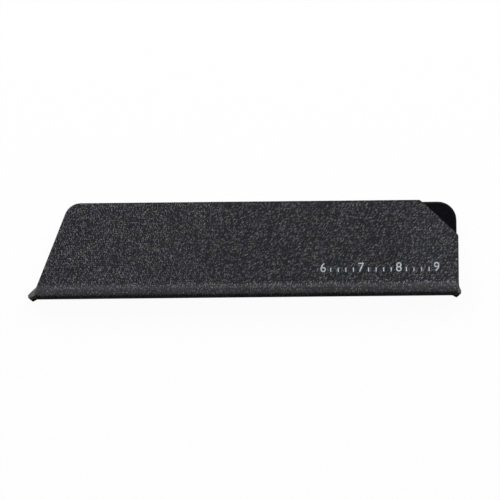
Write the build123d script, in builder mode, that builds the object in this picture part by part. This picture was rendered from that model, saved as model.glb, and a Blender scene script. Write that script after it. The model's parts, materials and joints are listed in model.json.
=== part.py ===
from build123d import *
from math import radians, tan
import os

# A folding blade guard for a small kitchen knife, lying on its back half.
# X runs along the fold towards the knife's handle, Y runs from the fold to the free edges, and
# Z is the thickness, with zero on the surface that the guard lies on.
# Each half is a cover of folded sheet with a soft lining stuck to its inner face, and two
# flexible magnet strips under that lining. The front half opens about the web in the fold.

# Sizes of the whole guard, in millimetres and degrees
guard_length = 114.5  # between the flared tips at the two ends of the fold
cover_height = 25.4  # from the underside of the fold to the front cover's free edge
slant_angle = 22.1  # of the end over the knife's point, from square

# Thicknesses, from the outside in
sheet_thickness = 1.0
film_thickness = 0.15
lining_thickness = 1.2
lining_gap = 0.3  # between the two linings while the guard is shut

# Corners of the covers
point_corner_radius = 4.5
notch_length = 10.1  # of the front cover's cut corner, along its free edge
notch_height = 9.4  # of the same cut, down the handle end
notch_blend_radius = 1.0
back_corner_radius = 4.9
back_setback = 0.4  # the back cover's free edge stops this far below the front's

# Bead along the fold, where each cover swells before it turns in
bead_rise = 0.5  # how far the bead stands out from the cover
bead_height = 2.6  # from the underside of the fold to the foot of the ramp
ramp_height = 1.3
inner_bend_radius = 0.3
valley_radius = 1.2

# Web that joins the two covers and bends when the guard opens
web_radius = 0.1
web_clearance = 0.04
spine_clearance = 0.04  # of the spine's faces above the hinge line
spine_draft = 3.0  # each half of the spine leans up from the web by this angle
cover_edge_gap = 0.1  # between the two covers along the web

# Flared tips, where the fold's ends splay out past the covers
tip_reach = 0.6  # past the foot of each end
slant_inset = 0.25  # from the foot of the point end to the slanted line, at the fold's underside
tip_drop = 0.6  # below the underside of the fold
tip_run = 1.5  # of the web over which the tip swells and closes again
tip_low_inset = 0.45  # from the foot of the end to the lowest point
tip_end_reach = 0.35  # of the web and of the covers' edges beside it, past the foot of the end
nose_height = 0.6  # of the blunt end of each tip, above the underside of the fold
nose_width = 0.65
nose_radius = 0.2
point_flare_height = 3.35
handle_flare_height = 2.5
bevel_depth = 0.7  # how far the bead's face falls back by the furthest point

# Lining and the film that holds it
lining_inset = 0.3  # from the cover's own outline
lining_foot_gap = 0.5  # above the ramp
lining_foot_radius = 1.0
lining_edge_radius = 0.4
film_margin = 0.8  # inside the lining's outline

# Magnet strips
magnet_thickness = 0.6
strip_spacing = 6.0  # between the two strips of one half, which are as wide as the rest allows
strip_edge_margin = 2.8  # from the closing strip to the back cover's free edge
strip_foot_margin = 2.0  # from the blade strip to the lining's foot
strip_end_margin = 2.5  # from a strip's end to the cover's outline
pocket_room = 0.1  # around and over a strip, in the lining
window_room = 0.25  # around a strip, in the film

# Cuts run past the sheet by this much
overrun = 1.0

# Levels and places worked out from those sizes
panel_half = lining_gap / 2 + lining_thickness + film_thickness + sheet_thickness
bead_half = panel_half + bead_rise
hinge_z = bead_half
fold_y = tip_drop - (cover_height + tip_drop) / 2
hinge_y = fold_y + web_radius
front_edge_y = fold_y + cover_height
back_edge_y = front_edge_y - back_setback
nose_x = guard_length / 2
foot_x = nose_x - tip_reach
tip_end_x = foot_x + tip_end_reach
lining_foot_y = fold_y + bead_height + ramp_height + lining_foot_gap
film_half = panel_half - sheet_thickness
slant = tan(radians(slant_angle))

# The front half faces up, away from the middle, and the back half faces down
FRONT = 1
BACK = -1


def level(half, distance):
    """Height of a layer that lies this far out from the middle plane, on one half."""
    return hinge_z + half * distance


def slant_x(y):
    """Where the slanted end stands at this height over the fold."""
    return (y - fold_y) * slant - foot_x + slant_inset


def notch_x(y):
    """Where the line of the front cover's cut corner stands at this height."""
    return foot_x - notch_length + (front_edge_y - y) * notch_length / notch_height


def plan_sketch(edge_y, handle_corner, corner_radii):
    """Outline of a cover seen from the front, with its flared tips."""
    nose_low_y = fold_y + nose_height
    nose_high_y = nose_low_y + nose_width
    point_flare_y = fold_y + point_flare_height
    outline = [
        ((-tip_end_x, fold_y), 0),
        ((tip_end_x, fold_y), 0),
        ((nose_x, nose_low_y), nose_radius),
        ((nose_x, nose_high_y), nose_radius),
        ((foot_x, fold_y + handle_flare_height), 0),
        *zip(handle_corner, corner_radii),
        ((slant_x(edge_y), edge_y), point_corner_radius),
        ((slant_x(point_flare_y), point_flare_y), 0),
        ((-nose_x, nose_high_y), nose_radius),
        ((-nose_x, nose_low_y), nose_radius),
    ]
    points = [point for point, radius in outline]
    radii = [radius for point, radius in outline]
    with BuildSketch() as plan:
        with BuildLine():
            FilletPolyline(*points, radius=radii, close=True)
        make_face()
    return plan.sketch


def web_section(room):
    """Half of the web's section along the fold, above the hinge line, grown by some room."""
    radius = web_radius + room
    low_radius = web_radius + tip_drop + room
    end_x = tip_end_x + room
    low_x = foot_x - tip_low_inset
    neck_x = foot_x - tip_run
    with BuildSketch(Plane.XY.offset(hinge_z)) as section:
        with BuildLine():
            Polyline(
                (-end_x, hinge_y),
                (-end_x, hinge_y + radius),
                (-low_x, hinge_y + low_radius),
                (-neck_x, hinge_y + radius),
                (neck_x, hinge_y + radius),
                (low_x, hinge_y + low_radius),
                (end_x, hinge_y + radius),
                (end_x, hinge_y),
                close=True,
            )
        make_face()
    return section.sketch


def bevel_plane(half, end, start_x):
    """Plane along which the bead's face falls back towards the furthest point of one tip."""
    run = nose_x - abs(start_x)
    return Plane(
        origin=(start_x, fold_y, level(half, bead_half)),
        x_dir=(0, 1, 0),
        z_dir=(end * bevel_depth, 0, half * run),
    )


def cover(name, half, plan):
    """One cover: a bent strip of sheet, cut to its outline, with a seat for the web."""
    spine_y = hinge_y + spine_clearance
    spine_rise = bead_half * tan(radians(spine_draft))
    outer_bend_radius = inner_bend_radius + sheet_thickness
    with BuildPart() as shell:
        with BuildSketch(Plane.YZ.offset(-nose_x - overrun)):
            with BuildLine():
                FilletPolyline(
                    (spine_y, level(half, 0)),
                    (spine_y + spine_rise, level(half, bead_half)),
                    (fold_y + bead_height, level(half, bead_half)),
                    (fold_y + bead_height + ramp_height, level(half, panel_half)),
                    (front_edge_y + overrun, level(half, panel_half)),
                    radius=(outer_bend_radius, outer_bend_radius, valley_radius),
                )
                offset(amount=sheet_thickness, side=Side.RIGHT if half == FRONT else Side.LEFT)
            make_face()
        extrude(amount=guard_length + 2 * overrun)
        with BuildSketch(Plane.XY.offset(level(half, cover_edge_gap / 2))):
            add(plan)
        extrude(amount=half * bead_half, mode=Mode.INTERSECT)
        add(web_section(web_clearance))
        revolve(axis=Axis((0, hinge_y, hinge_z), (1, 0, 0)), mode=Mode.SUBTRACT)
        point_bevel_x = slant_x(fold_y + point_flare_height)
        split(bisect_by=bevel_plane(half, -1, point_bevel_x), keep=Keep.BOTTOM)
        split(bisect_by=bevel_plane(half, 1, foot_x), keep=Keep.BOTTOM)
    shell.part.label = name
    return shell.part


def pad_sketch(plan):
    """Outline of a lining: the cover's outline drawn in, and cut off above the bead."""
    with BuildSketch() as pad:
        add(plan)
        with Locations((0, lining_foot_y - lining_inset)):
            Rectangle(guard_length, cover_height, align=(Align.CENTER, Align.MIN), mode=Mode.INTERSECT)
        offset(amount=-lining_inset)
        fillet(pad.vertices().group_by(Axis.Y)[0], radius=lining_foot_radius)
    return pad.sketch


def strip_sketch(room):
    """Outlines of the two magnet strips of one half, grown by some room."""
    closing_top = back_edge_y - strip_edge_margin
    blade_foot = lining_foot_y + strip_foot_margin
    strip_width = (closing_top - blade_foot - strip_spacing) / 2
    strips = [
        (closing_top - strip_width, closing_top, notch_x(closing_top)),
        (blade_foot, blade_foot + strip_width, foot_x),
    ]
    with BuildSketch() as pair:
        for low_y, high_y, end_x in strips:
            low_x = slant_x(high_y) + strip_end_margin
            high_x = end_x - strip_end_margin
            with Locations(((low_x + high_x) / 2, (low_y + high_y) / 2)):
                Rectangle(high_x - low_x + 2 * room, high_y - low_y + 2 * room)
    return pair.sketch


def lining(name, half, plan):
    """Soft lining of one half, with pockets for the magnet strips in its hidden face."""
    with BuildPart() as pad:
        with BuildSketch(Plane.XY.offset(level(half, lining_gap / 2))):
            add(pad_sketch(plan))
        extrude(amount=half * lining_thickness)
        inner_face = pad.faces().sort_by(Axis.Z, reverse=half == BACK)[0]
        fillet(inner_face.edges(), radius=lining_edge_radius)
        with BuildSketch(Plane.XY.offset(level(half, film_half - magnet_thickness - pocket_room))):
            add(strip_sketch(pocket_room))
        extrude(amount=half * lining_thickness, mode=Mode.SUBTRACT)
    pad.part.label = name
    return pad.part


def film(name, half, plan):
    """Adhesive film between a lining and its cover, with windows for the magnet strips."""
    with BuildPart() as sheet:
        with BuildSketch(Plane.XY.offset(level(half, film_half - film_thickness))):
            add(pad_sketch(plan))
            offset(amount=-film_margin)
            add(strip_sketch(window_room), mode=Mode.SUBTRACT)
        extrude(amount=half * film_thickness)
    sheet.part.label = name
    return sheet.part


def magnet(name, half, place):
    """One magnet strip, flat on the cover's inner face."""
    with BuildPart() as strip:
        with BuildSketch(Plane.XY.offset(level(half, film_half - magnet_thickness))):
            add(strip_sketch(0).faces().sort_by(Axis.Y)[place])
        extrude(amount=half * magnet_thickness)
    strip.part.label = name
    return strip.part


# The web is a thin round rod on the hinge line, and its two ends swell into the tips
with BuildPart() as web:
    add(web_section(0))
    revolve(axis=Axis((0, hinge_y, hinge_z), (1, 0, 0)))
web.part.label = "fold_web"

# The front cover has its corner cut off at the handle end, so that a finger can part the halves
front_plan = plan_sketch(
    front_edge_y,
    [(foot_x, front_edge_y - notch_height), (foot_x - notch_length, front_edge_y)],
    [notch_blend_radius, notch_blend_radius],
)
back_plan = plan_sketch(back_edge_y, [(foot_x, back_edge_y)], [back_corner_radius])

pieces = [web.part]
for side, half, plan in (("front", FRONT, front_plan), ("back", BACK, back_plan)):
    pieces.append(cover(side + "_cover", half, plan))
    pieces.append(lining(side + "_lining", half, plan))
    pieces.append(film(side + "_adhesive_film", half, plan))
    pieces.append(magnet(side + "_blade_magnet", half, 0))
    pieces.append(magnet(side + "_closing_magnet", half, 1))

os.makedirs("parts", exist_ok=True)
for piece in pieces:
    export_step(piece, "parts/" + piece.label + ".step")
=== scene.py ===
import json
import math

import bmesh
import bpy
import numpy as np
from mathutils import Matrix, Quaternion, Vector


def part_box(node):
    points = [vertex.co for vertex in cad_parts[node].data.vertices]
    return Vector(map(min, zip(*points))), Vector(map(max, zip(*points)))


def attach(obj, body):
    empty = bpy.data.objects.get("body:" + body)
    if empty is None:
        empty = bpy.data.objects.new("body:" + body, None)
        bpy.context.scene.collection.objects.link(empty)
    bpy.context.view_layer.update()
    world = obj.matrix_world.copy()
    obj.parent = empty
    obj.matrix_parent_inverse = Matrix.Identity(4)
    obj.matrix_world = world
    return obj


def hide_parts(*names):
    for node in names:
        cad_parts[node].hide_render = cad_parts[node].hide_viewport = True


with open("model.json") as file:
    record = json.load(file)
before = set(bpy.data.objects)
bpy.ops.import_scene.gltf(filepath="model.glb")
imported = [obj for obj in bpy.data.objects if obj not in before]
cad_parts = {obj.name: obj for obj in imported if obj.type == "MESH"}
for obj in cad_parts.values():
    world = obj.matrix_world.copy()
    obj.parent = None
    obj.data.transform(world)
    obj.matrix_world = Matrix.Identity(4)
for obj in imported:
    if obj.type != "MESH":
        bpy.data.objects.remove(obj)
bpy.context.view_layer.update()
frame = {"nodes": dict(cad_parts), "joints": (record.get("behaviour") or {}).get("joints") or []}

# A folding blade guard for a small kitchen knife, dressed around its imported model.
# Lengths are in metres, written as millimetres times MM. X runs along the fold towards the
# handle end, Y from the fold to the free edges, and Z is the thickness.
MM = 0.001
FRONT = 1
BACK = -1

# Places that the frame gives
hinge_y = frame["joints"][0]["pos_m"][1]
hinge_z = frame["joints"][0]["pos_m"][2]
front_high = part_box("front_cover")[1]
back_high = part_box("back_cover")[1]
web_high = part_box("fold_web")[1]
lining_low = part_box("front_lining")[0]
nose_x = front_high.x
tip_end_x = web_high.x
bead_half = front_high.z - hinge_z

# Sheet, as in the frame
sheet_thickness = 1.0 * MM
bead_rise = 0.5 * MM
panel_half = bead_half - bead_rise
web_radius = 0.1 * MM
web_clearance = 0.04 * MM
fold_y = hinge_y - web_radius
spine_clearance = 0.04 * MM
spine_draft = math.radians(3.0)
cover_edge_gap = 0.1 * MM
bead_height = 2.6 * MM
ramp_height = 1.3 * MM
outer_bend_radius = 1.3 * MM
valley_radius = 1.2 * MM
slant_angle = math.radians(22.1)
slant_inset = 0.25 * MM
point_corner_radius = 4.5 * MM
notch_length = 10.1 * MM
notch_height = 9.4 * MM
notch_blend_radius = 1.0 * MM
back_corner_radius = 4.9 * MM

# Flared tips, as in the frame
tip_drop = 0.6 * MM
tip_run = 1.5 * MM
tip_low_inset = 0.45 * MM
tip_end_reach = 0.35 * MM
tip_softness = 0.1 * MM
nose_height = 0.6 * MM
nose_width = 0.65 * MM
nose_radius = 0.2 * MM
point_flare_height = 3.35 * MM
handle_flare_height = 2.5 * MM
foot_x = tip_end_x - tip_end_reach

# Facets of the tips: each begins at one place level with the fold and one at the flare's top
bevel_depth = 0.7 * MM
point_bevel_x = (foot_x - 0.85 * MM, foot_x - 1.75 * MM)
handle_bevel_x = (foot_x - 0.75 * MM, foot_x)

# Linings, as in the frame
lining_gap = 0.3 * MM
lining_thickness = 1.2 * MM
lining_inset = 0.3 * MM
lining_foot_radius = 1.0 * MM
lining_edge_radius = 0.4 * MM
lining_back_radius = 0.1 * MM
pocket_room = 0.1 * MM
pocket_margin = 0.5 * MM

# Generic scale, printed where the front cover carries its print
numerals = "6789"
numeral_height = 2.5 * MM
numeral_cap_share = 0.729
numeral_pitch = 10.0 * MM
numeral_base_y = -5.85 * MM
first_numeral_x = 20.8 * MM
ticks_between = 4
tick_width = 0.28 * MM
tick_height = 1.1 * MM
ink_low = -0.03 * MM
ink_high = 0.035 * MM

# Fineness of the meshes
path_step = 0.02 * MM
arc_steps = 16
grain_step = 0.2 * MM
nap_step = 0.35 * MM
corner_steps = 21
end_zone = 3.5 * MM
end_step = 0.14 * MM
rim_radius = 0.12 * MM
rim_steps = 3
relief_fade_steps = 2
web_sides = 24
web_rings = 24

# Steps of a sheet's outer face to one of its inner face, which corner_steps divides by
coarse = 3

# How deep the leather grain is pressed into the sheet, and how deep its shading looks
grain_relief = 0.03 * MM
grain_bump = 0.14 * MM

# Width, length and lean of each form of pebble, in the millimetres that its nodes work in
pebble_forms = [(0.17, 0.55, 0.0), (0.2, 0.66, 0.9)]
pebble_disorder = 0.8
pebble_edge = 0.72
pebble_size_shares = (0.35, 1.0)
pebble_share = 0.8
grit_share = 0.2
grit_scale = 5.0

# How the grain wanders and leans from place to place, how far the painted shade over the bead runs,
# and where the ends are painted lighter, in millimetres too
bend_draw_share = 0.85
grain_wander = 0.35
grain_wander_scale = 0.9
lean_places = (-45.0, 25.0)
lean_shares = (0.3, 0.72)
bead_band_run = 1.2
point_light_places = (-55.0, 0.0)
handle_light_places = (38.0, 54.0)

# Colours of the pits and of cool and warm pebbles, whose tops are painted lighter as glints of the
# lamps: each lies between two, by chance
pit_colours = (0.0175, 0.0195, 0.029), (0.0245, 0.023, 0.022)
cool_glint_colours = (0.25, 0.355, 0.385), (0.335, 0.32, 0.505)
warm_glint_colours = (0.365, 0.395, 0.205), (0.455, 0.33, 0.27)
cut_colour = (0.028, 0.028, 0.03)
# The tips' smooth facets are painted lighter: partly stress-whitened plastic, mostly a painted
# highlight of the lamps
tip_pale_and_highlight_colour = (0.12, 0.12, 0.113)

# Painted glints of the grained plastic, damped over the bead as painted shade, its ends painted
# lighter as painted light, patches of tone, and its roughness
middle_height = 0.42
painted_glint_heights = (0.25, 0.85)
painted_glint_power = 2.0
bead_band_glint = 0.09
bead_band_shade_share = 0.45
point_painted_light_values = (1.1, 1.0)
handle_painted_light_values = (1.0, 1.22)
patch_scale = 0.12
patch_levels = (0.3, 0.7)
patch_values = (0.92, 1.1)
grain_rough_heights = (0.1, 0.9)
grain_roughness = (0.6, 0.38)
grain_specular = 0.05

# Plastic of the web
web_mark_scale = 3.0
web_mark_levels = (0.35, 0.7)
web_colours = (0.02, 0.02, 0.02), (0.04, 0.04, 0.036)
web_rough_levels = (0.3, 0.7)
web_roughness = (0.4, 0.55)
web_bump = 0.01 * MM
web_specular = 0.1

# Felt of the linings
nap_scale = 3.5
nap_roughness = 0.7
fibre_stretch = (1.2, 6.0, 1.0)
fibre_distortion = 1.5
fibre_levels = (0.52, 0.68)
fibre_height = 0.4
felt_heights = (0.3, 1.0)
felt_colours = (0.001, 0.001, 0.0015), (0.010, 0.010, 0.012)
felt_bump = 0.08 * MM
felt_roughness = 0.95
felt_specular = 0.05
felt_sheen = 0.015
felt_sheen_roughness = 0.5

# Adhesive film
air_scale = 0.5
bubble_levels = (0.05, 0.25)
film_colours = (0.62, 0.55, 0.36), (0.74, 0.7, 0.6)
film_rough_levels = (0.0, 0.6)
film_roughness = (0.15, 0.35)
film_bump = 0.03 * MM
film_transmission = 0.6

# Rubber of the magnet strips
ferrite_scale = 6.0
slit_stretch = (0.05, 7.0, 7.0)
slit_height = 0.6
magnet_heights = (0.5, 1.1)
magnet_colours = (0.035, 0.027, 0.022), (0.075, 0.06, 0.05)
magnet_rough_levels = (0.3, 0.7)
magnet_roughness = (0.55, 0.75)
magnet_bump = 0.03 * MM

# Ink of the printed scale
ink_scale = 3.2
ink_levels = (0.3, 0.55)
ink_colours = (0.32, 0.36, 0.40), (0.55, 0.62, 0.67)
ink_roughness = 0.6
ink_bump = 0.02 * MM

# Detail of the noise in the materials
slit_detail = 1.0
grain_detail = 2.0
patch_detail = 3.0
nap_detail = 4.0

# Camera, square over the front face
view_target = Vector((1.53 * MM, 0.17 * MM, 5.5 * MM))
view_elevation = math.radians(89.5)
view_distance = 470 * MM
view_roll = math.radians(0.584)
view_near_share = 0.01
frame_width = 132.1 * MM
sensor_width = 36.0

# Lamps. Each lights a white surface to this share of full white.
lamp_directions = {"left_key": (-0.65, 1.0, 0.75), "right_key": (0.75, 1.0, 0.7)}
lamp_distance = 0.6
lamp_width = 0.35
lamp_share = 0.92

# Studio and floor. The walls' top and the ceiling's rim are the upward part of a direction.
wall_top = 0.12
ceiling_low = 0.45
ceiling_strength = 0.08
ambient_strength = 0.04
floor_reach = 3.0
floor_shadow_share = 0.04
white_colour = (1, 1, 1, 1)
floor_pale_colour = (0.9, 0.9, 0.9, 1)
floor_dim_colour = (0.1, 0.1, 0.1, 1)


def slant_x(y):
    """Where the slanted end stands at this height over the fold."""
    return (y - fold_y) * math.tan(slant_angle) - foot_x + slant_inset


def unit(vectors):
    """The same vectors, each made one long."""
    return vectors / np.linalg.norm(vectors, axis=-1, keepdims=True)


def path_reach(path):
    """How far along a polyline each of its points stands."""
    return np.concatenate([[0], np.cumsum(np.linalg.norm(np.diff(path, axis=0), axis=1))])


def rounded_line(corners, radii):
    """Closely spaced points along a polyline, with each inner corner rounded to its radius."""
    corners = [np.array(corner, float) for corner in corners]
    path = [corners[0]]
    for before, corner, after, radius in zip(corners, corners[1:], corners[2:], radii):
        if radius == 0:
            path.append(corner)
            continue
        back, ahead = unit(before - corner), unit(after - corner)
        half_angle = math.acos(back @ ahead) / 2
        turn = math.pi - 2 * half_angle
        centre = corner + unit(back + ahead) * radius / math.sin(half_angle)
        start = corner + back * radius / math.tan(half_angle) - centre
        end = corner + ahead * radius / math.tan(half_angle) - centre
        for share in np.linspace(0, 1, arc_steps + 1):
            from_start = math.sin((1 - share) * turn) / math.sin(turn)
            from_end = math.sin(share * turn) / math.sin(turn)
            path.append(centre + start * from_start + end * from_end)
    path.append(corners[-1])
    path = np.array(path)
    reached = path_reach(path)
    even = np.linspace(0, reached[-1], round(reached[-1] / path_step) + 1)
    return np.stack([np.interp(even, reached, path[:, axis]) for axis in (0, 1)], axis=1)


def between(line, low, high):
    """The points of a line that lie above one height and below another."""
    margin = path_step / arc_steps
    return line[(line[:, 1] > low + margin) & (line[:, 1] < high - margin)]


def cover_sides(edge_y, handle_corner, corner_radii):
    """The slanted side and the handle side of a cover seen from the front, from fold to edge."""
    nose_low_y = fold_y + nose_height
    nose_high_y = nose_low_y + nose_width
    flare_y = fold_y + point_flare_height
    slanted = rounded_line(
        [
            (-tip_end_x, fold_y),
            (-nose_x, nose_low_y),
            (-nose_x, nose_high_y),
            (slant_x(flare_y), flare_y),
            (slant_x(edge_y), edge_y),
            (0, edge_y),
        ],
        [nose_radius, nose_radius, 0, point_corner_radius],
    )
    handle = rounded_line(
        [
            (tip_end_x, fold_y),
            (nose_x, nose_low_y),
            (nose_x, nose_high_y),
            (foot_x, fold_y + handle_flare_height),
            *handle_corner,
            (0, edge_y),
        ],
        [nose_radius, nose_radius, 0, *corner_radii],
    )
    return between(slanted, -edge_y, edge_y), between(handle, -edge_y, edge_y)


def lining_sides(edge_y, handle_corner, corner_radii):
    """The two sides of a lining, which are the cover's drawn in, and cut off above the bead."""
    foot_y = lining_low.y
    top_y = edge_y - lining_inset
    drawn_in = lining_inset / math.cos(slant_angle)
    radii = [radius - lining_inset for radius in corner_radii]
    slanted = rounded_line(
        [
            (0, foot_y),
            (slant_x(foot_y) + drawn_in, foot_y),
            (slant_x(top_y) + drawn_in, top_y),
            (0, top_y),
        ],
        [lining_foot_radius, point_corner_radius - lining_inset],
    )
    handle = rounded_line(
        [(0, foot_y), (foot_x - lining_inset, foot_y), *handle_corner, (0, top_y)],
        [lining_foot_radius, *radii],
    )
    return between(slanted, foot_y, top_y), between(handle, foot_y, top_y)


def even_steps(low, high, step):
    """Evenly spaced values between two ends, in a number of steps that the coarse grid divides."""
    return np.linspace(low, high, coarse * max(1, round((high - low) / step / coarse)) + 1)


def eased_levels(low, high, low_radius, high_radius, step):
    """Values from low to high that stand closer together over a rounded corner at either end."""
    eased = np.array([1 - math.cos(turn) for turn in np.linspace(0, math.pi / 2, corner_steps + 1)])
    first = low + low_radius * eased if low_radius else np.array([low])
    middle = even_steps(low + low_radius, high - high_radius, step)
    return np.concatenate([first, middle[1:-1], (high - high_radius * eased)[::-1]])


def end_shares(step):
    """Shares of the way from side to side, closer together near the flared tips."""
    near = even_steps(0, end_zone, end_step) / (2 * nose_x)
    far = even_steps(end_zone, 2 * nose_x - end_zone, step) / (2 * nose_x)
    return np.concatenate([near, far[1:-1], 1 - near[::-1]])


def perimeter(rows, columns):
    """Numbers of a grid's border vertices, once round against the clock."""
    index = np.arange(rows * columns).reshape(rows, columns)
    return np.concatenate([index[0], index[1:, -1], index[-1, -2::-1], index[-2:0:-1, 0]])


def quads(index):
    """Faces of a grid of vertex numbers."""
    corners = (index[:-1, :-1], index[:-1, 1:], index[1:, 1:], index[1:, :-1])
    return np.stack([corner.ravel() for corner in corners], axis=1).tolist()


def mesh_object(name, points, faces, material):
    """New object with this mesh, its faces turned outwards and smooth."""
    mesh = bpy.data.meshes.new(name)
    mesh.from_pydata(points, [], faces)
    work = bmesh.new()
    work.from_mesh(mesh)
    bmesh.ops.recalc_face_normals(work, faces=work.faces)
    work.to_mesh(mesh)
    work.free()
    mesh.shade_smooth()
    mesh.materials.append(material)
    made = bpy.data.objects.new(name, mesh)
    bpy.context.scene.collection.objects.link(made)
    return made


def shown_mesh(piece):
    """New mesh with the shape that an object's modifiers or letters give it."""
    seen = piece.evaluated_get(bpy.context.evaluated_depsgraph_get())
    return bpy.data.meshes.new_from_object(seen)


def keep_share(piece, name, values):
    """Keeps one value for each vertex on a mesh, for its materials."""
    kept = piece.data.attributes.new(name, "FLOAT", "POINT")
    kept.data.foreach_set("value", values.astype(np.float32))


class FlatGrid:
    """Rows and columns of flat places between two sides, with a border that can be drawn in."""

    def __init__(self, sides, levels, shares):
        left, right = (np.interp(levels, side[:, 1], side[:, 0]) for side in sides)
        self.shape = len(levels), len(shares)
        self.shares = shares
        self.flat = np.empty((*self.shape, 2))
        self.flat[..., 0] = left[:, None] + (right - left)[:, None] * shares
        self.flat[..., 1] = levels[:, None]
        self.loop = perimeter(*self.shape)
        self.border = self.flat.reshape(-1, 2)[self.loop]
        ahead = unit(np.roll(self.border, -1, axis=0) - self.border)
        along = unit(ahead + np.roll(ahead, 1, axis=0))
        self.outward = np.stack([along[:, 1], -along[:, 0]], axis=1)

    def ring(self, inset, depth):
        """The border drawn in by some distance, at one depth."""
        flat = self.border - self.outward * inset
        return np.column_stack([flat, np.full(len(flat), depth)])

    def face(self, inset, depth):
        """The whole grid at one depth, with its border drawn in by some distance."""
        grid = self.flat.copy()
        grid.reshape(-1, 2)[self.loop] = self.border - self.outward * inset
        first, last = grid[1:-1, :1], grid[1:-1, -1:]
        grid[1:-1] = first + (last - first) * self.shares[None, :, None]
        flat = grid.reshape(-1, 2)
        return np.column_stack([flat, np.full(len(flat), depth)])

    def steps_in(self):
        """How many rows or columns each vertex stands in from the border."""
        row, column = np.indices(self.shape)
        rows, columns = self.shape
        return np.minimum.reduce([row, rows - 1 - row, column, columns - 1 - column]).ravel()


def slab(name, sides, levels, shares, place, thickness, rims, bare, material):
    """Closed sheet between two sides, with a rounded rim on its outer and on its inner face.

    A point of the flat sheet is (x, level, depth under the outer face), and place gives where
    it stands. The flat places are kept on the mesh, in millimetres, for the materials, and so
    are three shares for each point: those of the grain, of its relief, and of the bare plastic
    at the flared tips."""
    fine = FlatGrid(sides, levels, shares)
    plain = FlatGrid(sides, levels[::coarse], shares[::coarse])
    outer_rim, inner_rim = rims
    turns = np.linspace(0, math.pi / 2, rim_steps + 1)[1:]
    rounding = [(1 - math.sin(turn), 1 - math.cos(turn)) for turn in turns]
    layers = [fine.face(outer_rim, 0)]
    for inset_share, depth_share in rounding:
        layers.append(fine.ring(outer_rim * inset_share, outer_rim * depth_share))
    for inset_share, depth_share in reversed(rounding):
        layers.append(plain.ring(inner_rim * inset_share, thickness - inner_rim * depth_share))
    layers.append(plain.face(inner_rim, thickness))
    spots = np.concatenate(layers)
    starts = np.cumsum([0] + [len(layer) for layer in layers])
    numbers = [np.arange(start, end) for start, end in zip(starts, starts[1:])]

    fine_rings = [fine.loop, *numbers[1 : rim_steps + 1]]
    plain_rings = [*numbers[rim_steps + 1 : -1], plain.loop + starts[-2]]
    faces = quads(numbers[0].reshape(fine.shape))
    for rings in (fine_rings, plain_rings):
        faces += quads(np.array([np.append(ring, ring[0]) for ring in rings]))
    faces += quads(numbers[-1].reshape(plain.shape)[:, ::-1])
    last_fine = np.append(fine_rings[-1], fine_rings[-1][0]).tolist()
    first_plain = np.append(plain_rings[0], plain_rings[0][0]).tolist()
    for n in range(len(first_plain) - 1):
        many = last_fine[n * coarse : (n + 1) * coarse + 1]
        faces.append([*many, first_plain[n + 1], first_plain[n]])

    made = mesh_object(name, place(*spots.T), faces, material)
    kept = made.data.attributes.new("sheet_place", "FLOAT_VECTOR", "POINT")
    kept.data.foreach_set("vector", (spots / MM).astype(np.float32).ravel())
    tip = bare(*spots.T)
    grained = (spots[:, 2] < outer_rim) * (tip == 0)
    relief = np.zeros(len(spots))
    relief[: starts[1]] = np.clip(fine.steps_in() / relief_fade_steps, 0, 1)
    keep_share(made, "grain_share", grained)
    keep_share(made, "relief_share", relief * grained)
    keep_share(made, "tip_share", tip)
    return made


def web_reach(x, room):
    """Radius of the web and of its swollen ends at a place along the fold, grown by some room."""
    run = np.abs(x)
    places = [foot_x - tip_run, foot_x - tip_low_inset, tip_end_x]
    radii = [web_radius, web_radius + tip_drop, web_radius]
    shifts = (-tip_softness, 0, tip_softness)
    return np.mean([np.interp(run + shift, places, radii) for shift in shifts], axis=0) + room


class Section:
    """A cover's outer face seen from the handle end: a line from the web to the free edge."""

    def __init__(self, edge_y):
        spine_y = hinge_y + spine_clearance
        line = rounded_line(
            [
                (spine_y, cover_edge_gap / 2),
                (spine_y + bead_half * math.tan(spine_draft), bead_half),
                (fold_y + bead_height, bead_half),
                (fold_y + bead_height + ramp_height, panel_half),
                (edge_y, panel_half),
            ],
            [outer_bend_radius, outer_bend_radius, valley_radius],
        )
        step = np.gradient(line, axis=0)
        self.y, self.height = line.T
        self.angle = np.arctan2(step[:, 1], step[:, 0])
        self.reached = path_reach(line)
        self.length = self.reached[-1]

    def bevel_share(self, x, reached):
        """How far out on a flared tip a point is, from 0 at its inner line to 1 at the nose."""
        y = np.interp(reached, self.reached, self.y)
        point_line = np.interp(y, [fold_y, fold_y + point_flare_height], point_bevel_x)
        handle_line = np.interp(y, [fold_y, fold_y + handle_flare_height], handle_bevel_x)
        start = np.where(x < 0, point_line, handle_line)
        return np.clip((np.abs(x) - start) / (nose_x - start), 0, 1)

    def place(self, x, reached, depth, half):
        """Where points of the flat sheet stand once it is bent and its tips are pinched."""
        angle = np.interp(reached, self.reached, self.angle)
        y = np.interp(reached, self.reached, self.y) + np.sin(angle) * depth
        height = np.interp(reached, self.reached, self.height) - np.cos(angle) * depth
        height = np.minimum(height, bead_half - self.bevel_share(x, reached) * bevel_depth)
        away_y = y - hinge_y
        distance = np.hypot(away_y, height)
        push = np.maximum(web_reach(x, web_clearance) / distance, 1)
        return np.column_stack([x, hinge_y + away_y * push, hinge_z + half * height * push])

    def sides(self, plan):
        """The plan's sides with each height over the fold turned into a reach along the sheet."""
        turned = []
        for side in plan:
            reached = np.interp(side[:, 1], self.y, self.reached)
            turned.append(np.column_stack([side[:, 0], reached]))
        return turned


def cover(name, half, edge_y, plan, material):
    """One cover: the sheet bent over the fold, with its tips pinched."""
    section = Section(edge_y)
    return slab(
        name,
        section.sides(plan),
        eased_levels(0, section.length, 0, back_corner_radius, grain_step),
        end_shares(grain_step),
        lambda x, reached, depth: section.place(x, reached, depth, half),
        sheet_thickness,
        (rim_radius, rim_radius),
        lambda x, reached, depth: (section.bevel_share(x, reached) > 0) * (depth < rim_radius),
        material,
    )


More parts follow.
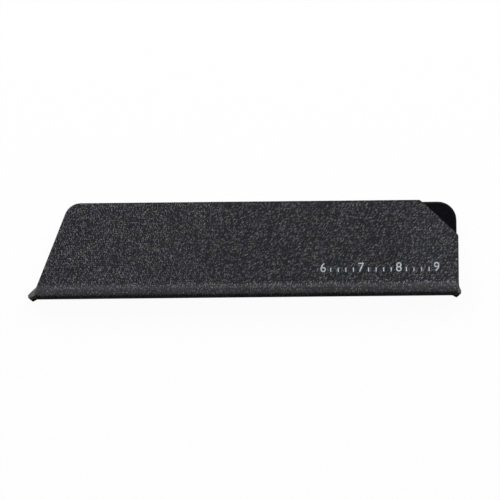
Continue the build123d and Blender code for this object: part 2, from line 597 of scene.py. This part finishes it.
def lining(name, half, edge_y, plan, strips, material):
    """One lining: a soft pad with a rounded face edge, and pockets for the magnets behind it."""
    film_half = panel_half - sheet_thickness
    boxes = [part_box(strip) for strip in strips]

    def place(x, y, depth):
        """Where points of the flat pad stand, with its hidden face pressed in over each strip."""
        outwards = lining_gap / 2 + depth
        for low, high in boxes:
            beside = np.maximum.reduce([low.x - x, x - high.x, low.y - y, y - high.y])
            roof = film_half - (high.z - low.z) - pocket_room
            full = np.interp(beside, [pocket_margin, 2 * pocket_margin], [roof, outwards.max()])
            outwards = np.minimum(outwards, full)
        return np.column_stack([x, y, hinge_z + half * outwards])

    top_y = edge_y - lining_inset
    return slab(
        name,
        plan,
        eased_levels(lining_low.y, top_y, lining_foot_radius, back_corner_radius, nap_step),
        end_shares(nap_step),
        place,
        lining_thickness,
        (lining_edge_radius, lining_back_radius),
        lambda x, y, depth: np.zeros(len(x)),
        material,
    )


def web(name, material):
    """The round web along the fold, with its swollen ends."""
    swollen = np.arange(tip_end_x, foot_x - tip_run - 2 * tip_softness, -end_step / 2)
    middle = np.linspace(-swollen[-1], swollen[-1], web_rings)
    places = np.unique(np.concatenate([-swollen, middle, swollen]))
    radii = web_reach(places, 0)
    turns = np.linspace(0, 2 * math.pi, web_sides, endpoint=False)
    points = np.column_stack(
        [
            np.repeat(places, web_sides),
            (hinge_y + np.outer(radii, np.cos(turns))).ravel(),
            (hinge_z + np.outer(radii, np.sin(turns))).ravel(),
        ]
    )
    rings = np.arange(len(points)).reshape(len(places), web_sides)
    faces = quads(np.column_stack([rings, rings[:, 0]]))
    faces += [rings[0].tolist(), rings[-1, ::-1].tolist()]
    return mesh_object(name, points, faces, material)


# Nodes of the materials


def fill(tree, node, inputs):
    """Sets each of these inputs to its value, or links it to another node's output."""
    for name, value in inputs.items():
        if isinstance(value, bpy.types.NodeSocket):
            tree.links.new(value, node.inputs[name])
        else:
            node.inputs[name].default_value = value


def add(tree, kind, inputs=None, **settings):
    """New node with these settings and inputs."""
    node = tree.nodes.new(kind)
    for name, value in settings.items():
        setattr(node, name, value)
    fill(tree, node, inputs or {})
    return node


def calc(tree, operation, *values):
    """Result of a math node on these values."""
    return add(tree, "ShaderNodeMath", dict(enumerate(values)), operation=operation).outputs[0]


def split(tree, vector):
    """The three parts of a vector or a colour."""
    return add(tree, "ShaderNodeSeparateXYZ", {0: vector}).outputs


def noise(tree, place, scale, detail, **more):
    """Noise texture over a place, with any more inputs by name."""
    inputs = {"Vector": place, "Scale": scale, "Detail": detail, **more}
    return add(tree, "ShaderNodeTexNoise", inputs).outputs


def ranged(tree, value, levels, values=(0.0, 1.0)):
    """The value brought from one range to another, eased at both ends."""
    inputs = {"Value": value, "From Min": levels[0], "From Max": levels[1]}
    inputs |= {"To Min": values[0], "To Max": values[1]}
    return add(tree, "ShaderNodeMapRange", inputs, interpolation_type="SMOOTHSTEP").outputs[0]


def tint(tree, share, low, high):
    """A colour between two colours."""
    mixed = add(tree, "ShaderNodeMix", {"Factor": share}, data_type="RGBA")
    for socket, colour in zip([s for s in mixed.inputs if s.type == "RGBA"], (low, high)):
        if isinstance(colour, bpy.types.NodeSocket):
            tree.links.new(colour, socket)
        else:
            socket.default_value = (*colour, 1)
    return next(s for s in mixed.outputs if s.type == "RGBA")


def stretched(tree, place, factors):
    """A place with each of its coordinates multiplied."""
    return add(tree, "ShaderNodeVectorMath", {0: place, 1: factors}, operation="MULTIPLY").outputs[0]


def object_place(tree):
    """Place in the object's own space, in millimetres."""
    coordinates = add(tree, "ShaderNodeTexCoord").outputs["Object"]
    return stretched(tree, coordinates, (1 / MM, 1 / MM, 1 / MM))


def kept_on_mesh(tree, name, output):
    """What a mesh keeps under this name."""
    return add(tree, "ShaderNodeAttribute", attribute_name=name).outputs[output]


def bumped(tree, height, distance):
    """Normal of a surface that stands out by this height times this distance."""
    inputs = {"Height": height, "Distance": distance, "Strength": 1.0}
    return add(tree, "ShaderNodeBump", inputs).outputs[0]


def new_material(name):
    """New material, its node tree and its main shader."""
    made = bpy.data.materials.new(name)
    made.use_nodes = True
    return made, made.node_tree, made.node_tree.nodes["Principled BSDF"]


def emptied_tree(holder):
    """Node tree of a material or a world, with nothing left in it."""
    holder.use_nodes = True
    holder.node_tree.nodes.clear()
    return holder.node_tree


# The leather grain


def grain(tree, place):
    """Height of the grain at a flat place, three chances for each pebble, and how far a place lies
    into the bead and the bend, where the cover paints shade by damping its painted glints.

    All run from 0 to 1. Short upright pebbles give way to narrow leaning ones towards the
    handle end, in patches. Over the bead and the bend they are drawn out across the fold."""
    axes = split(tree, place)
    wander_value, wander_colour = noise(tree, place, grain_wander_scale, grain_detail)
    shift = split(tree, wander_colour)
    along = calc(tree, "MULTIPLY_ADD", shift[0], grain_wander, axes[0])
    across = calc(tree, "MULTIPLY_ADD", shift[1], grain_wander, axes[1])
    over = calc(tree, "SUBTRACT", across, band_reach / MM + grain_wander / 2)
    above = calc(tree, "MAXIMUM", over, 0.0)
    below = calc(tree, "MINIMUM", over, 0.0)
    drawn = calc(tree, "MULTIPLY_ADD", below, bend_draw_share, above)
    cells = []
    for width, length, lean in pebble_forms:
        upright = calc(tree, "MULTIPLY_ADD", above, -lean, along)
        parts = {0: calc(tree, "DIVIDE", upright, width), 1: calc(tree, "DIVIDE", drawn, length)}
        spot = add(tree, "ShaderNodeCombineXYZ", parts).outputs[0]
        inputs = {"Vector": spot, "Scale": 1.0, "Randomness": pebble_disorder}
        settings = {"voronoi_dimensions": "2D", "feature": "F1"}
        cells.append(add(tree, "ShaderNodeTexVoronoi", inputs, **settings).outputs)
    upright_cell, leaning_cell = cells
    leaning_share = ranged(tree, axes[0], lean_places, lean_shares)
    leaning = calc(tree, "LESS_THAN", wander_value, leaning_share)
    chance = split(tree, tint(tree, leaning, upright_cell["Color"], leaning_cell["Color"]))
    distances = {2: upright_cell["Distance"], 3: leaning_cell["Distance"]}
    distance = add(tree, "ShaderNodeMix", {0: leaning, **distances}).outputs[0]
    round_top = ranged(tree, distance, (0.0, pebble_edge), (1.0, 0.0))
    size = ranged(tree, chance[0], (0.0, 1.0), pebble_size_shares)
    grit = calc(tree, "MULTIPLY", noise(tree, place, grit_scale, grain_detail)[0], grit_share)
    height = calc(tree, "MULTIPLY_ADD", calc(tree, "MULTIPLY", round_top, size), pebble_share, grit)
    # Full over the bead and the bend, fading out at the ramp's foot: there the cover's painted
    # glints are damped as painted shade
    worn = ranged(tree, below, (-bead_band_run, 0.0), (1.0, 0.0))
    return height, chance, worn


def press_grain(piece):
    """Moves the outer face's vertices inwards by the grain, deepest in its pits."""
    tree = bpy.data.node_groups.new(piece.name + "_relief", "GeometryNodeTree")
    for way in ("INPUT", "OUTPUT"):
        tree.interface.new_socket("Geometry", in_out=way, socket_type="NodeSocketGeometry")
    entry = add(tree, "NodeGroupInput")
    named = "GeometryNodeInputNamedAttribute"
    place = add(tree, named, {"Name": "sheet_place"}, data_type="FLOAT_VECTOR").outputs[0]
    share = add(tree, named, {"Name": "relief_share"}, data_type="FLOAT").outputs[0]
    level = calc(tree, "SUBTRACT", grain(tree, place)[0], 1.0)
    offset = calc(tree, "MULTIPLY", calc(tree, "MULTIPLY", level, grain_relief), share)
    normal = add(tree, "GeometryNodeInputNormal").outputs[0]
    move = add(tree, "ShaderNodeVectorMath", {0: normal, "Scale": offset}, operation="SCALE")
    moving = {"Geometry": entry.outputs[0], "Offset": move.outputs[0]}
    moved = add(tree, "GeometryNodeSetPosition", moving)
    add(tree, "NodeGroupOutput", {0: moved.outputs[0]})
    modifier = piece.modifiers.new("relief", "NODES")
    modifier.node_group = tree
    mesh = shown_mesh(piece)
    piece.modifiers.clear()
    piece.data = mesh


# Materials


def cover_material():
    """Black moulded plastic with a leather grain: painted glints on the pebbles' tops and dull pits,
    with painted shade over the bead and painted light at the ends and tips.
    """
    made, tree, shader = new_material("grained black plastic")
    place = kept_on_mesh(tree, "sheet_place", "Vector")
    share = kept_on_mesh(tree, "grain_share", "Fac")
    tip = kept_on_mesh(tree, "tip_share", "Fac")
    pressed, chance, worn = grain(tree, place)
    size, hue, blush = chance
    over_middle = calc(tree, "SUBTRACT", pressed, middle_height)
    height = calc(tree, "MULTIPLY_ADD", over_middle, share, middle_height)
    # The pebbles' tops, the big pebbles most, are painted lighter: painted glints of the lamps
    round_top = ranged(tree, height, painted_glint_heights)
    painted_glint = calc(tree, "MULTIPLY", round_top, calc(tree, "POWER", size, painted_glint_power))
    # Over the bead and the bend the painted glints are drawn towards one low level: painted shade
    to_band_glint = calc(tree, "SUBTRACT", bead_band_glint, painted_glint)
    painted_glint = calc(tree, "MULTIPLY_ADD", to_band_glint, calc(tree, "MULTIPLY", worn, bead_band_shade_share), painted_glint)
    pits = tint(tree, hue, *pit_colours)
    cool, warm = tint(tree, blush, *cool_glint_colours), tint(tree, blush, *warm_glint_colours)
    grained = tint(tree, painted_glint, pits, tint(tree, hue, cool, warm))
    # The flared tips take a lighter colour, mostly a painted highlight
    colour = tint(tree, tip, tint(tree, share, cut_colour, grained), tip_pale_and_highlight_colour)
    along = split(tree, place)[0]
    patches = noise(tree, place, patch_scale, patch_detail)[0]
    # Both ends of the cover are painted lighter, as the lamps light them more: painted light. The
    # patches are tone that differs at random.
    at_point = ranged(tree, along, point_light_places, point_painted_light_values)
    at_handle = ranged(tree, along, handle_light_places, handle_painted_light_values)
    in_patches = ranged(tree, patches, patch_levels, patch_values)
    ends_painted_light_and_patches = calc(tree, "MULTIPLY", calc(tree, "MULTIPLY", at_point, at_handle), in_patches)
    shaded = add(tree, "ShaderNodeHueSaturation", {"Color": colour, "Value": ends_painted_light_and_patches})
    finish = {
        "Base Color": shaded.outputs[0],
        "Roughness": ranged(tree, height, grain_rough_heights, grain_roughness),
        "Normal": bumped(tree, height, grain_bump),
        "Specular IOR Level": grain_specular,
    }
    fill(tree, shader, finish)
    return made


def web_material():
    """The same plastic where it is stretched thin and smooth by folding."""
    made, tree, shader = new_material("worn black plastic")
    marks = noise(tree, object_place(tree), web_mark_scale, patch_detail)[0]
    finish = {
        "Base Color": tint(tree, ranged(tree, marks, web_mark_levels), *web_colours),
        "Roughness": ranged(tree, marks, web_rough_levels, web_roughness),
        "Normal": bumped(tree, marks, web_bump),
        "Specular IOR Level": web_specular,
    }
    fill(tree, shader, finish)
    return made


def lining_material():
    """Dead matt black felt: a fine nap with scattered fibres."""
    made, tree, shader = new_material("black felt")
    place = object_place(tree)
    nap = noise(tree, place, nap_scale, nap_detail, Roughness=nap_roughness)[0]
    drawn = stretched(tree, place, fibre_stretch)
    fibres = noise(tree, drawn, 1.0, grain_detail, Distortion=fibre_distortion)[0]
    height = calc(tree, "MULTIPLY_ADD", ranged(tree, fibres, fibre_levels), fibre_height, nap)
    finish = {
        "Base Color": tint(tree, ranged(tree, height, felt_heights), *felt_colours),
        "Roughness": felt_roughness,
        "Normal": bumped(tree, height, felt_bump),
        "Specular IOR Level": felt_specular,
        "Sheen Weight": felt_sheen,
        "Sheen Roughness": felt_sheen_roughness,
    }
    fill(tree, shader, finish)
    return made


def film_material():
    """Clear double-sided adhesive film, yellowed a little, with trapped air."""
    made, tree, shader = new_material("adhesive film")
    spots = {"Vector": object_place(tree), "Scale": air_scale, "Randomness": 1.0}
    air = add(tree, "ShaderNodeTexVoronoi", spots, feature="SMOOTH_F1").outputs["Distance"]
    bubbles = ranged(tree, air, bubble_levels, (1.0, 0.0))
    finish = {
        "Base Color": tint(tree, bubbles, *film_colours),
        "Roughness": ranged(tree, air, film_rough_levels, film_roughness),
        "Normal": bumped(tree, bubbles, film_bump),
        "Transmission Weight": film_transmission,
    }
    fill(tree, shader, finish)
    return made


def magnet_material():
    """Flexible magnet strip: dull brown-black rubber filled with ferrite, slit along its length."""
    made, tree, shader = new_material("flexible magnet")
    place = object_place(tree)
    ferrite = noise(tree, place, ferrite_scale, nap_detail)[0]
    slits = noise(tree, stretched(tree, place, slit_stretch), 1.0, slit_detail)[0]
    height = calc(tree, "MULTIPLY_ADD", slits, slit_height, ferrite)
    finish = {
        "Base Color": tint(tree, ranged(tree, height, magnet_heights), *magnet_colours),
        "Roughness": ranged(tree, ferrite, magnet_rough_levels, magnet_roughness),
        "Normal": bumped(tree, height, magnet_bump),
    }
    fill(tree, shader, finish)
    return made


def ink_material():
    """Pale grey ink, thinner in spots."""
    made, tree, shader = new_material("pale ink")
    laid = noise(tree, object_place(tree), ink_scale, grain_detail)[0]
    finish = {
        "Base Color": tint(tree, ranged(tree, laid, ink_levels), *ink_colours),
        "Roughness": ink_roughness,
        "Normal": bumped(tree, laid, ink_bump),
    }
    fill(tree, shader, finish)
    return made


def print_scale(name, surface_z, material):
    """Plain numerals with short ticks between them, as one thin layer of ink."""
    work = bmesh.new()
    ink_depth = ink_high - ink_low
    middle_z = surface_z + (ink_low + ink_high) / 2
    for place, numeral in enumerate(numerals):
        text = bpy.data.curves.new(numeral, "FONT")
        text.body = numeral
        text.align_x = "CENTER"
        text.size = numeral_height / numeral_cap_share
        text.extrude = ink_depth / 2
        holder = bpy.data.objects.new(numeral, text)
        holder.location = (first_numeral_x + place * numeral_pitch, numeral_base_y, middle_z)
        bpy.context.scene.collection.objects.link(holder)
        bpy.context.view_layer.update()
        shape = shown_mesh(holder)
        shape.transform(holder.matrix_world)
        work.from_mesh(shape)
        bpy.data.objects.remove(holder)
        bpy.data.meshes.remove(shape)
        if place == len(numerals) - 1:
            continue
        for tick in range(1, ticks_between + 1):
            x = first_numeral_x + (place + tick / (ticks_between + 1)) * numeral_pitch
            corners = bmesh.ops.create_cube(work, size=1)["verts"]
            bmesh.ops.scale(work, vec=(tick_width, tick_height, ink_depth), verts=corners)
            middle = (x, numeral_base_y + tick_height / 2, middle_z)
            bmesh.ops.translate(work, vec=middle, verts=corners)
    bmesh.ops.remove_doubles(work, verts=work.verts, dist=path_step / arc_steps)
    bmesh.ops.recalc_face_normals(work, faces=work.faces)
    mesh = bpy.data.meshes.new(name)
    work.to_mesh(mesh)
    work.free()
    mesh.materials.clear()
    mesh.materials.append(material)
    made = bpy.data.objects.new(name, mesh)
    bpy.context.scene.collection.objects.link(made)
    return made


# Outlines of the covers, and how far along the sheet the foot of the bead's ramp lies
front_section = Section(front_high.y)
ramp_end_y = fold_y + bead_height + ramp_height
band_reach = float(np.interp(ramp_end_y, front_section.y, front_section.reached))
notch_low = (foot_x, front_high.y - notch_height)
notch_high = (foot_x - notch_length, front_high.y)
notch_radii = [notch_blend_radius, notch_blend_radius]
front_plan = cover_sides(front_high.y, [notch_low, notch_high], notch_radii)
back_plan = cover_sides(back_high.y, [(foot_x, back_high.y)], [back_corner_radius])

# Outlines of the linings. Their cut corner runs beside the cover's, drawn in as far.
notch_angle = math.atan2(notch_height, notch_length)
notch_shift_low = lining_inset * math.tan((math.pi / 2 - notch_angle) / 2)
notch_shift_high = lining_inset * math.tan(notch_angle / 2)
lining_notch_low = (foot_x - lining_inset, notch_low[1] - notch_shift_low)
lining_notch_high = (notch_high[0] - notch_shift_high, front_high.y - lining_inset)
lining_corner = (foot_x - lining_inset, back_high.y - lining_inset)
front_pad_plan = lining_sides(front_high.y, [lining_notch_low, lining_notch_high], notch_radii)
back_pad_plan = lining_sides(back_high.y, [lining_corner], [back_corner_radius])

# Pieces
plastic = cover_material()
felt = lining_material()
halves = [
    ("front", FRONT, front_high.y, front_plan, front_pad_plan),
    ("back", BACK, back_high.y, back_plan, back_pad_plan),
]
for side, half, edge_y, plan, pad_plan in halves:
    body = side + "_half"
    skin = cover(side + "_cover_skin", half, edge_y, plan, plastic)
    press_grain(skin)
    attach(skin, body)
    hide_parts(side + "_cover")
    strips = [side + "_blade_magnet", side + "_closing_magnet"]
    pad = lining(side + "_lining_felt", half, edge_y, pad_plan, strips, felt)
    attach(pad, body)
    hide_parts(side + "_lining")

web_skin = web("fold_web_skin", web_material())
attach(web_skin, "back_half")
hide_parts("fold_web")

scale_print = print_scale("scale_print", hinge_z + panel_half, ink_material())
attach(scale_print, "front_half")

finishes = {"adhesive_film": film_material(), "magnet": magnet_material()}
for name, node in frame["nodes"].items():
    for ending, finish in finishes.items():
        if name.endswith(ending):
            node.material_slots[0].material = finish

# Camera
back_to_camera = Vector((0, -math.cos(view_elevation), math.sin(view_elevation)))
lens = bpy.data.cameras.new("camera")
lens.sensor_width = sensor_width
lens.lens = sensor_width * view_distance / frame_width
lens.clip_start = view_distance * view_near_share
camera = bpy.data.objects.new("camera", lens)
camera.location = view_target + back_to_camera * view_distance
camera.rotation_mode = "QUATERNION"
facing = (-back_to_camera).to_track_quat("-Z", "Y")
camera.rotation_quaternion = facing @ Quaternion((0, 0, 1), -view_roll)
bpy.context.scene.collection.objects.link(camera)
bpy.context.scene.camera = camera

# Square lamps aimed at the guard
for name, direction in lamp_directions.items():
    lamp = bpy.data.lights.new(name, "AREA")
    lamp.shape = "SQUARE"
    lamp.size = lamp_width
    lamp.energy = lamp_share * math.pi**2 * lamp_distance**2
    towards = Vector(direction).normalized()
    holder = bpy.data.objects.new(name, lamp)
    holder.location = towards * lamp_distance
    holder.rotation_mode = "QUATERNION"
    holder.rotation_quaternion = (-towards).to_track_quat("-Z", "Y")
    bpy.context.scene.collection.objects.link(holder)


def mixed_shader(tree, share, first, second):
    """A shader between two shaders."""
    return add(tree, "ShaderNodeMixShader", {0: share, 1: first, 2: second}).outputs[0]


def by_ray(tree, seen, reflected, lighting):
    """One shader for the eye, one for reflections, and one for the rays that light the object."""
    path = add(tree, "ShaderNodeLightPath").outputs
    mirrored = calc(tree, "MAXIMUM", path["Is Glossy Ray"], path["Is Transmission Ray"])
    unseen = mixed_shader(tree, mirrored, lighting, reflected)
    return mixed_shader(tree, path["Is Camera Ray"], unseen, seen)


# The studio is white to the eye, and reflections show its white walls and its dim ceiling
world = bpy.data.worlds.new("studio")
tree = emptied_tree(world)
direction = split(tree, add(tree, "ShaderNodeTexCoord").outputs["Generated"])
walls = ranged(tree, direction[2], (wall_top, ceiling_low), (1.0, ceiling_strength))
white, room, ambient = (
    add(tree, "ShaderNodeBackground", {"Color": white_colour, "Strength": strength}).outputs[0]
    for strength in (1.0, walls, ambient_strength)
)
add(tree, "ShaderNodeOutputWorld", {"Surface": by_ray(tree, white, room, ambient)})
bpy.context.scene.world = world

# Floor: white to the eye but for a faint shadow, pale in reflections, and dim as a light
floor_material = bpy.data.materials.new("pale floor")
tree = emptied_tree(floor_material)
glow = add(tree, "ShaderNodeEmission", {"Color": white_colour, "Strength": 1.0}).outputs[0]
pale, dim = (
    add(tree, "ShaderNodeBsdfDiffuse", {"Color": colour}).outputs[0]
    for colour in (floor_pale_colour, floor_dim_colour)
)
seen = mixed_shader(tree, floor_shadow_share, glow, pale)
add(tree, "ShaderNodeOutputMaterial", {"Surface": by_ray(tree, seen, pale, dim)})
ways = ((-1, -1), (1, -1), (1, 1), (-1, 1))
corners = [(x * floor_reach, y * floor_reach, 0) for x, y in ways]
floor = mesh_object("floor", corners, [(0, 1, 2, 3)], floor_material)

bpy.context.scene.view_settings.view_transform = "Standard"
